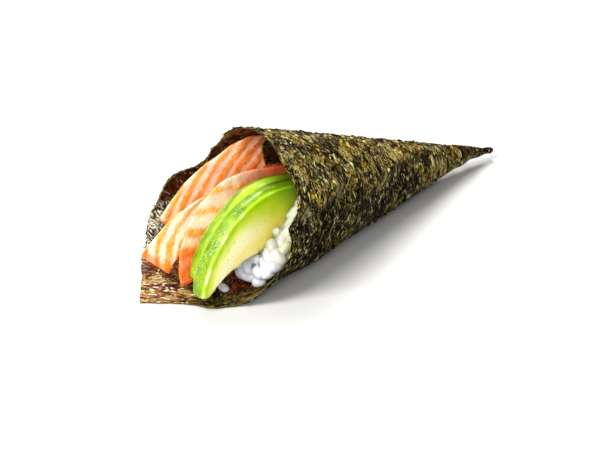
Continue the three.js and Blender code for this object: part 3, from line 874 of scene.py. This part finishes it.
def drawn_edge(corners):
    """The same along a smooth line through the given places."""
    corners = np.array(corners, float)
    padded = np.concatenate([2 * corners[:1] - corners[1:2], corners, 2 * corners[-1:] - corners[-2:-1]])
    share = np.linspace(0, 1, 40, endpoint=False)[:, None]
    parts = []
    for before, start, end, after in zip(padded, padded[1:], padded[2:], padded[3:]):
        parts.append(0.5 * (2 * start + (end - before) * share
                            + (2 * before - 5 * start + 4 * end - after) * share ** 2
                            + (3 * start - before - 3 * end + after) * share ** 3))
    line = np.concatenate(parts + [corners[-1:]])
    lengths = np.concatenate([[0], np.cumsum(size_of(np.diff(line, axis=0)))])
    slopes = np.gradient(line, lengths, axis=0)

    def read(travelled):
        inside = np.clip(travelled, 0, lengths[-1])
        place, along = (joined(*(np.interp(inside, lengths, column) for column in table.T))
                        for table in (line, slopes))
        along = along / size_of(along)[..., None]
        return place + along * (travelled - inside)[..., None], joined(along[..., 1], -along[..., 0])
    return read


def section_of(corners, share, tilt=0):
    """A section at every share of the length; the tilt leans its (depth, across) corners over."""
    return np.stack([joined(depth, across + depth * tilt + 0 * share) for depth, across in corners], -2)


def salmon_profile(near, width_list, tilt_list):
    """A salmon slice's section: a flat bar cut at a slant."""
    def section(share):
        width = read_along(np.array(width_list), share)
        tilt = np.tan(np.radians(read_along(np.array(tilt_list), share)))
        slant, swell, far = 0.7 * SALMON_THICKNESS, 0.25, near - SALMON_THICKNESS
        return section_of([
            (0.5, near), (width / 2, near + swell), (width - 0.7, near), (width, near - 0.7),
            (width + 0.4, far + 0.7), (width - 0.3, far), ((width + slant) / 2, far),
            (slant + 0.6, far), (slant, far + 0.5), (0, near - 0.5)], share, tilt)
    return section


def avocado_profile(near, thickness):
    """An avocado slice's section: broad curved skin side, flat cut faces, thin at the stone."""
    def section(share):
        width = read_along(HALF_MOON, share)
        thin = np.minimum(1, width / 6)
        far = near - thickness * lerp(0.55, 1, thin)
        stone = near - thickness * 0.62
        return section_of([
            (0.5 * thin, near), (width * 0.5, near + 0.15), (width * 0.93, near), (width, near - 0.9),
            (width, stone + 0.5), (width * 0.9, stone), (width * 0.45, far + 0.35), (0.9 * thin, far),
            (0, lerp(near, far, 0.72)), (-0.35, lerp(near, far, 0.3))], share)
    return section


# Each slice's outer edge from its low end into the cone, its length along that edge, its section, and
# how far its low end leans to the near side.
SLICES = {
    "avocado_slice_1": dict(edge=arc_edge([99.7, -2.1], 29.5, 12), length=61, lean=0,
                            profile=avocado_profile(13, 5.8)),
    "avocado_slice_2": dict(edge=arc_edge([94.8, -4.9], 32.5, 20), length=62, lean=0,
                            profile=avocado_profile(6.8, 4.3)),
    "salmon_slice_1": dict(
        edge=drawn_edge([[120, 15], [116.4, 19], [110.8, 25], [101.5, 30.5], [94, 35], [86, 36.8],
                         [60, 36.8]]),
        length=70, lean=-6.4,
        profile=salmon_profile(-7.6, [[0, 8.6], [0.3, 8.8], [0.5, 11.4], [1, 10]], [[0, 13], [1, 8]])),
    "salmon_slice_2": dict(
        edge=arc_edge([105.9, -17.1], 37.9, 47), length=72, lean=0,
        profile=salmon_profile(-7.2, [[0, 6.8], [0.15, 6.8], [0.3, 8.5], [1, 8]],
                               [[0, 42], [0.12, 36], [0.3, 18], [1, 14]])),
    "salmon_slice_3": dict(
        edge=arc_edge([104, 5], 21.6, -8), length=78, lean=3.4,
        profile=salmon_profile(-2.4, [[0, 6], [0.3, 9], [1, 8]], [[0, 8], [0.3, 20], [1, 16]])),
}


# For each corner of a slice's section its radius in millimetres, and the parts of the edge after it.
SALMON_CORNERS = ([0.35, 2.0, 0.4, 0.4, 0.4, 0.4, 2.0, 0.4, 0.35, 0.4], [12, 12, 3, 6, 3, 10, 8, 2, 8, 2])
AVOCADO_CORNERS = ([0.35, 3.0, 0.8, 0.5, 0.5, 0.6, 3.0, 0.35, 1.0, 1.2],
                   [14, 14, 2, 4, 3, 10, 14, 3, 4, 3])
PLAIN_CORNERS = ([0.35] * 10, [2] * 10)


def rounded(section, radii, edge_counts):
    """A finer section: each corner rounded, each edge cut into a fixed number of parts."""
    count = section.shape[-2]
    finer = []
    for k in range(count):
        following = (k + 1) % count
        corner, next_corner = section[..., k, :], section[..., following, :]
        before, after = section[..., k - 1, :] - corner, next_corner - corner
        size_before, size_after = size_of(before)[..., None], size_of(after)[..., None]
        start = corner + before / size_before * np.minimum(radii[k], 0.45 * size_before)
        end = corner + after / size_after * np.minimum(radii[k], 0.45 * size_after)
        stop = next_corner - after / size_after * np.minimum(radii[following], 0.45 * size_after)
        for share in np.linspace(0, 1, 5):
            finer.append((1 - share) ** 2 * start + 2 * share * (1 - share) * corner + share ** 2 * end)
        for share in np.arange(1, edge_counts[k]) / edge_counts[k]:
            finer.append(lerp(end, stop, share))
    return np.stack(finer, -2)


def bent_slice(slice_plan, steps, radii, edge_counts, bevel=0.35):
    """Rings of a slice bent over the rice, and for each point its place in the flat slice."""
    length = slice_plan["length"]
    inner = np.linspace(0, 1, steps + 1) * length
    at_end = bevel * np.array([0, 0.1, 0.4, 1])
    travelled = np.sort(np.concatenate([at_end, inner[1:-1], length - at_end]))
    share = travelled / length
    section = rounded(slice_plan["profile"](share), radii, edge_counts)
    middle = section.mean(-2, keepdims=True)
    from_end = np.minimum(travelled, length - travelled)
    inset = bevel - np.sqrt(np.maximum(0, bevel ** 2 - (bevel - np.minimum(from_end, bevel)) ** 2))
    size = size_of(section - middle)[..., None]
    section = middle + (section - middle) * (1 - np.minimum(0.9, inset[:, None, None] / size))
    place, out = slice_plan["edge"](travelled)
    depth, across = section[..., 0], section[..., 1]
    flat = place[:, None, :] - out[:, None, :] * depth[..., None]
    sideways = across + slice_plan["lean"] * (1 - share[:, None]) ** 2
    points = close_up(joined(flat[..., 0], sideways, flat[..., 1]))
    return points, joined(travelled[:, None], depth, across)


def normals_of(rings):
    """Outward directions of a lofted surface."""
    along = np.gradient(rings, axis=0)
    around = np.roll(rings, -1, axis=1) - np.roll(rings, 1, axis=1)
    normal = np.cross(around, along)
    normal /= size_of(normal)[..., None] + 1e-9
    outward = rings - rings.mean(1, keepdims=True)
    return normal * np.sign((normal * outward).sum(-1).mean())


def slice_piece(name, rings, material, values):
    shape, faces = loft(rings)
    make_piece(name + "_flesh", shape, faces, [material], name,
               {label: with_caps(value) for label, value in values.items()})


# The fat lines of each salmon slice, read across the view (right, up): their direction, their distance
# apart, where the first one lies and how far they bend. Then how wide the fat is, where painted shade
# darkens the slice inside the mouth, how wide its cut end shows, and how much painted shade at its low
# end and inside the mouth hides the fat lines.
PLAIN_END = dict(end_width=0.9, low_shade=0.1, fat_hidden_by_low_shade=0, fat_hidden_by_inner_shade=0, raised=0)
SALMON = {
    "salmon_slice_1": dict(PLAIN_END, angle=61, spacing=2.75, start=0.2, bend=0.006, centre=(-84.3, -8.3),
                           fat_width=0.36, low_fat_width=0.36, mouth=(84, 100)),
    "salmon_slice_2": dict(PLAIN_END, angle=90, spacing=3.1, start=0.2, bend=0.033, centre=(-94.1, -29.4),
                           fat_width=0.46, low_fat_width=0.46, mouth=(88, 102), end_width=3.2),
    "salmon_slice_3": dict(PLAIN_END, angle=8, spacing=5.2, start=0.5, bend=0.004, centre=(-84.1, -17.6),
                           fat_width=0.6, low_fat_width=0.3, mouth=(90, 108), low_shade=0.7,
                           fat_hidden_by_low_shade=0.85, fat_hidden_by_inner_shade=0.75, raised=1.2),
}


def band_phase(plan, points):
    """How many fat lines lie between a point and the slice's first one."""
    side = joined(points @ VIEW_RIGHT, points @ VIEW_UP) - np.array(plan["centre"])
    angle = np.radians(plan["angle"])
    along = side @ np.array([np.cos(angle), np.sin(angle)])
    off = side @ np.array([-np.sin(angle), np.cos(angle)])
    return plan["start"] + (off + plan["bend"] * along ** 2) / plan["spacing"]


def salmon_slice(name, seed):
    plan = SALMON[name]
    rings, own = bent_slice(SLICES[name], 190, *SALMON_CORNERS)
    travelled, depth = own[..., 0], own[..., 1]
    phase = band_phase(plan, rings)
    flakes = 0.09 * np.cos(2 * np.pi * (phase + 0.2 + 0.18 * lumps(own, 3.5, seed)))
    uneven = 0.16 * lumps(rings, 5.0, seed + 1) + 0.05 * rough(own, 1.3, seed + 2, 2)
    rings = rings + normals_of(rings) * (flakes + uneven)[..., None]
    upper_edge = fade(depth, 0.5, 4.0)
    rings[..., 2] += plan["raised"] * upper_edge * smoothstep(118 - rings[..., 0], 0, 24)
    height = rings[..., 2]
    inside = fade(rings[..., 0] + 4 * lumps(rings, 6, seed + 5), *plan["mouth"])
    low_end = fade(height, 9, 18)
    end_face = fade(travelled + 0.8 * lumps(own, 3.0, seed + 9), 0.3 * plan["end_width"],
                    plan["end_width"])
    # painted shade inside the mouth and at the low end also hides the pale fat lines; the cut end shows less
    # fat
    fatness = np.clip(1 - 0.7 * inside - plan["fat_hidden_by_low_shade"] * low_end - 0.7 * end_face, 0, 1)
    near_top = fade(depth, 0.5, 3.0)
    # where the painted wet glints go: most near the top edge, and in random patches
    wet_glints = 0.2 + 0.6 * near_top + 0.9 * smoothstep(lumps(rings, 5.0, seed + 7), 0.0, 0.5)
    slice_piece(name, rings, salmon_flesh, {
        "flesh": own,
        "bands": phase,
        "shade": np.clip(0.9 * inside + plan["low_shade"] * low_end + 0.7 * end_face, 0, 1),
        "fatness": fatness * (1 - plan["fat_hidden_by_inner_shade"] * inside),
        "fat_width": lerp(plan["fat_width"], plan["low_fat_width"], low_end),
        "pinkness": smoothstep(height, 12, 24),
        "wet_glints": np.clip(wet_glints, 0, 1),
    })


def avocado_slice(name, seed):
    rings, own = bent_slice(SLICES[name], 170, *AVOCADO_CORNERS, bevel=0.8)
    travelled, depth, across = own[..., 0], own[..., 1], own[..., 2]
    share = travelled / SLICES[name]["length"]
    green_depth = lerp(8.0, 17.0, smoothstep(share, 0.2, 0.8))
    skin_side = fade(depth, 0.1, 0.65)
    # where the skin side gets painted sheen flecks and wet glints, fewer inside the mouth
    sheen_and_glints = 0.12 + 0.5 * smoothstep(lumps(own, 7.0, seed + 3) + 0.5 * lumps(own, 3.0, seed + 4), -0.3, 0.7)
    near = across.max() - across
    ridge = np.exp(-((depth - 0.45) / 0.3) ** 2) * fade(near, 0.4, 1.0)
    cut_width = 0.4 + CUT_GROWTH[name] * smoothstep(travelled, 16, 28)
    values = {
        "flesh": own,
        "from_skin": np.clip(depth / green_depth, 0, 1),
        "skin_side": skin_side,
        "sheen_and_glints": sheen_and_glints * (1 - 0.8 * smoothstep(travelled, 26, 38)),
        "ripe": smoothstep(share, 0.3, 0.62),
        "fresh_cut": fade(near + 0.4 * lumps(own, 5.0, seed + 6), cut_width, cut_width + 0.8),
        "shaded": 0.9 * fade(rings[..., 0] - 0.22 * (rings[..., 2] - 20), 90, 102),
        "glint": ridge * smoothstep(lumps(own, 4.0, seed + 8), -0.1, 0.4) * fade(travelled, 30, 40),
    }
    uneven = 0.10 * lumps(rings, 6.0, seed) + 0.05 * skin_side * rough(own, 1.6, seed + 1, 2)
    slice_piece(name, rings + normals_of(rings) * uneven[..., None], avocado_flesh, values)


# ---- Rice ----
RICE_START = 37
RICE_FRONT = 116  # where the heap's slanting front would meet the table
RICE_SLANT = 1.15
RICE_FOOT = 111
RICE_ROOF_REACH = 60  # under the roof of the mouth the heap ends sooner
RICE_MIDDLE = np.array([99.0, 0.0, 15.0])
GRAIN_TRIES = 9000
GRAIN_SPACING = 2.4
GRAIN_LENGTH = (4.2, 5.8)
GRAIN_WIDTH = (2.9, 3.7)
STRAY_SIZE = (4.4, 2.6, 2.0)
SKIN_CELL = 0.25  # how fine the skin round the grains is

# Single grains on the sheet before the heap: distance from the tip, turn, and heading in degrees.
STRAY_GRAINS = [(121.5, 18, 20), (118, 22, 75)]


def rice_reach(turn):
    direction = round_axis(np.cos(HALF_ANGLE), np.sin(HALF_ANGLE), turn)
    rise = direction[..., 2] - TIP_HEIGHT
    reach = (RICE_FRONT - RICE_SLANT * TIP_HEIGHT) / (direction[..., 0] + RICE_SLANT * rise)
    foot = RICE_FOOT - 5 * smoothstep(20 - turn, 0, 12)
    under_roof = smoothstep(np.abs(turn), 112, 150)
    return lerp(np.minimum(reach, foot), RICE_ROOF_REACH, under_roof)


def rice_front(turn, inward):
    """A point of the heap's front: `inward` 0 on the sheet, 1 in the middle of the mouth."""
    edge = inside_cone(rice_reach(turn), turn, WALL_DEPTH + 0.5 * np.minimum(1, inward * 8))
    point = lerp(edge, RICE_MIDDLE, np.asarray(inward)[..., None])
    lower = smoothstep(32 - point[..., 2], 0, 20)
    point[..., 0] += 2.2 * lower * np.sin(np.pi * np.minimum(1, inward * 1.4))
    return point


def rice_core():
    """The heap under the grains: smooth along the sheet, bumpy and a little sunk at its front."""
    wall_rings, front_rings = 12, 26
    turns = np.arange(-180, 180, 3.0)
    wall = [inside_cone(lerp(RICE_START, rice_reach(turns), share), turns, WALL_DEPTH)
            for share in np.linspace(0, 0.97, wall_rings)]
    front = [rice_front(turns, np.full(len(turns), inward))
             for inward in np.linspace(0.03, 0.95, front_rings)]
    rings = np.array(wall + front)
    bumps = 0.4 * lumps(rings, 2.6, 61) - 0.9
    rings[wall_rings:] += (normals_of(rings) * bumps[..., None])[wall_rings:]
    shape, faces = loft(rings)
    # the core shows only in the gaps between grains and gets most of their painted shade
    make_piece("rice_core", shape, faces, [rice_white], "rice", {
        "flesh": shape, "tinge": tinge_of(shape), "grain_tone": np.full(len(shape), 0.3),
        "between": np.full(len(shape), 0.8)})


def tinge_of(points):
    """How much the rice is tinged yellow-green: towards the top of the heap, most where it lies against the
    sheet.
    """
    near_wall = smoothstep(outside_by(points), -6, -1)
    upper = smoothstep(points[:, 2], 7, 14)
    return np.clip(upper * (0.5 + 0.5 * near_wall), 0, 1)


def grain_shape():
    """One short grain, lying along X, about 1 long."""
    angle = np.linspace(0, 2 * np.pi, 14, endpoint=False)
    share = np.linspace(-1, 1, 15)[1:-1, None]
    radius = 0.5 * (1 - abs(share) ** 2.5) ** 0.5
    return loft(joined(share * 0.5, radius * np.cos(angle), 0.9 * radius * np.sin(angle)))


def front_frame(turn, inward):
    """A place on the heap's front, and the direction out of the heap there."""
    turn, inward = np.array([turn]), np.array([inward])
    middle = rice_front(turn, inward)[0]
    across = rice_front(turn + 2, inward)[0] - middle
    inwards = rice_front(turn, inward + 0.03)[0] - middle
    out = np.cross(across, inwards)
    out /= np.linalg.norm(out) + 1e-9
    return middle, (-out if out[0] < 0 else out)


def scattered_grains(random, unit):
    """Grains over the heap's front, clear of the sheet and the slices, and not too close together.

    Gives the points of each grain, its spine, and half its width along the spine.
    """
    trees = []
    for plan in SLICES.values():
        shape, faces = loft(bent_slice(plan, 40, *PLAIN_CORNERS)[0])
        trees.append(BVHTree.FromPolygons([Vector(point) for point in shape], faces))
    shapes, spines, widths = [], [], []
    for _ in range(GRAIN_TRIES):
        middle, out = front_frame(random.uniform(-180, 180), 0.03 + 0.92 * random.random() ** 1.3)
        length, width = random.uniform(*GRAIN_LENGTH), random.uniform(*GRAIN_WIDTH)
        heading = random.normal(size=3)
        heading -= out * (heading @ out) * random.uniform(0.55, 1.0)
        heading /= np.linalg.norm(heading)
        middle = middle + out * random.uniform(-0.5, 0.7)
        if spines and np.min(size_of(np.array(spines)[:, 2] - middle)) < GRAIN_SPACING:
            continue
        spine = middle + heading * length * np.array([-0.42, -0.2, 0, 0.2, 0.42])[:, None]
        wide = width / 2 * np.array([0.6, 0.95, 1, 0.95, 0.6])
        if np.any(outside_by(spine) + wide > 1.0 - WALL_DEPTH) or np.any(spine[:, 2] - wide < 1.4):
            continue
        if not all(clear_of(trees, point, radius) for point, radius in zip(spine, wide)):
            continue
        spines.append(spine)
        widths.append(wide)
        side = np.cross(heading, out)
        side /= np.linalg.norm(side)
        grown = unit * (length, width, width)
        grown[:, 2] += 0.35 * np.cos(np.pi * unit[:, 0]) * random.uniform(-1, 1)
        uneven = 0.05 * lumps(unit + len(spines), 0.45, 71)[:, None]
        shapes.append(middle + (grown + uneven) @ np.stack([heading, side, np.cross(heading, side)]))
    return shapes, spines, widths


def rice_grains():
    random = np.random.default_rng(7)
    unit, unit_faces = grain_shape()
    shapes, spines, widths = scattered_grains(random, unit)
    for reach, turn, heading in STRAY_GRAINS:
        middle = inside_cone(np.array(reach), np.array(turn), 2.0)
        onward, sideways = np.cos(np.radians(heading)), np.sin(np.radians(heading))
        turned = np.array([[onward, sideways, 0], [-sideways, onward, 0], [0, 0, 1]])
        shapes.append(middle + unit * STRAY_SIZE @ turned)
    shape, faces = merged(np.concatenate(shapes), copied_faces(unit_faces, len(unit), len(shapes)))
    owner, beyond = nearest_grains(shape, spines, widths)
    # painted shade where the grains meet, by how close the next grain lies
    make_piece("rice_grains", shape, faces, [rice_white], "rice", {
        "flesh": shape, "tinge": tinge_of(shape), "grain_tone": random.random(len(spines))[owner],
        "between": fade(beyond, 0.0, 0.7)})


def nearest_grains(shape, spines, widths):
    """For each point the grain it lies on, and how much farther away the next grain lies."""
    first, second, owner = np.full(len(shape), 9.0), np.full(len(shape), 9.0), np.zeros(len(shape), int)
    for number, (spine, wide) in enumerate(zip(spines, widths)):
        around = np.flatnonzero(np.abs(shape - spine[2]).max(1) < 4.5)
        away = (size_of(shape[around, None] - spine) - wide).min(1)
        closer = away < first[around]
        second[around] = np.where(closer, first[around], np.minimum(second[around], away))
        first[around] = np.minimum(first[around], away)
        owner[around[closer]] = number
    return owner, second - first


def merged(points, faces):
    """One skin round bodies that overlap, with the joins between them softened."""
    mesh = bpy.data.meshes.new("loose bodies")
    mesh.from_pydata(points.tolist(), [], faces)
    body = bpy.data.objects.new("loose bodies", mesh)
    bpy.context.scene.collection.objects.link(body)
    skin = body.modifiers.new("skin", "REMESH")
    skin.mode, skin.voxel_size = "VOXEL", SKIN_CELL
    soften = body.modifiers.new("soften", "SMOOTH")
    soften.factor, soften.iterations = 0.5, 1
    result = body.evaluated_get(bpy.context.evaluated_depsgraph_get()).to_mesh()
    shape = np.empty(3 * len(result.vertices), np.float32)
    result.vertices.foreach_get("co", shape)
    corners = np.empty(4 * len(result.polygons), np.int32)
    result.polygons.foreach_get("vertices", corners)
    bpy.data.objects.remove(body)
    return shape.reshape(-1, 3).astype(float), corners.reshape(-1, 4).tolist()


def clear_of(trees, point, radius):
    """Whether a ball at the point stays clear of every slice."""
    for tree in trees:
        nearest, normal, _, distance = tree.find_nearest(Vector(point))
        if distance < radius * 0.8 or (Vector(point) - nearest).dot(normal) < 0:
            return False
    return True


# ---- Building the roll ----
nori_sheet()
nori_threads()
for order, piece_name in enumerate(SLICES):
    if piece_name.startswith("salmon"):
        salmon_slice(piece_name, 100 + 10 * order)
    else:
        avocado_slice(piece_name, 200 + 10 * order)
rice_core()
rice_grains()


# ---- Table, light and camera ----
CAMERA_LENS = 102
CAMERA_LOOK = (0.62777, 0.64323, -0.43837)
CAMERA_FROM_TIP = (380.03, 306.71, 213.83)  # how far it stands from the tip towards the mouth, near and up

# Where each softbox hangs and what it faces, in metres, its size and its power in watts.
SOFTBOXES = {
    "key": [(-0.42, 0.02, 0.52), (-0.03, 0, 0.015), (0.30, 0.30), 6.0],
    "mouth fill": [(-0.46, -0.33, 0.28), (-0.03, 0, 0.02), (0.3, 0.25), 2.5],
    "top rim": [(0.25, 0.35, 0.5), (0.0, 0, 0.02), (0.4, 0.3), 5.0],
}


def add_floor():
    material = make_material("pale table", {"Base Color": colour(196, 195, 192), "Roughness": 0.75})
    bpy.ops.mesh.primitive_plane_add(size=6, location=(0, 0, -0.0002))
    floor = bpy.context.object
    floor.name = "table"
    floor.data.materials.append(material)


def add_softbox(name, place, target, size, power):
    light = bpy.data.lights.new(name, "AREA")
    light.shape = "RECTANGLE"
    light.size, light.size_y = size
    light.energy = power
    lamp = bpy.data.objects.new(name, light)
    lamp.location = place
    lamp.rotation_euler = (Vector(target) - Vector(place)).to_track_quat("-Z", "Y").to_euler()
    bpy.context.scene.collection.objects.link(lamp)


def add_camera():
    look = Vector(CAMERA_LOOK).normalized()
    right = Vector(VIEW_RIGHT * (-1, -1, 1)).normalized()
    up = right.cross(look)
    data = bpy.data.cameras.new("view")
    data.lens = CAMERA_LENS
    data.sensor_width = 36
    data.clip_start = 0.01
    camera = bpy.data.objects.new("view", data)
    turned = Matrix((right, up, -look)).transposed().to_4x4()
    toward_mouth, near, high = CAMERA_FROM_TIP
    place = Vector((ROLL_AT[0] - toward_mouth, ROLL_AT[1] - near, high)) / 1000
    camera.matrix_world = Matrix.Translation(place) @ turned
    bpy.context.scene.collection.objects.link(camera)
    bpy.context.scene.camera = camera


def set_world():
    world = bpy.data.worlds.new("studio")
    world.use_nodes = True
    background = world.node_tree.nodes["Background"]
    background.inputs["Color"].default_value = (0.95, 0.97, 1.0, 1)
    background.inputs["Strength"].default_value = 0.24
    bpy.context.scene.world = world


add_floor()
add_camera()
set_world()
for softbox_name, softbox in SOFTBOXES.items():
    add_softbox(softbox_name, *softbox)
bpy.context.scene.view_settings.view_transform = "Standard"
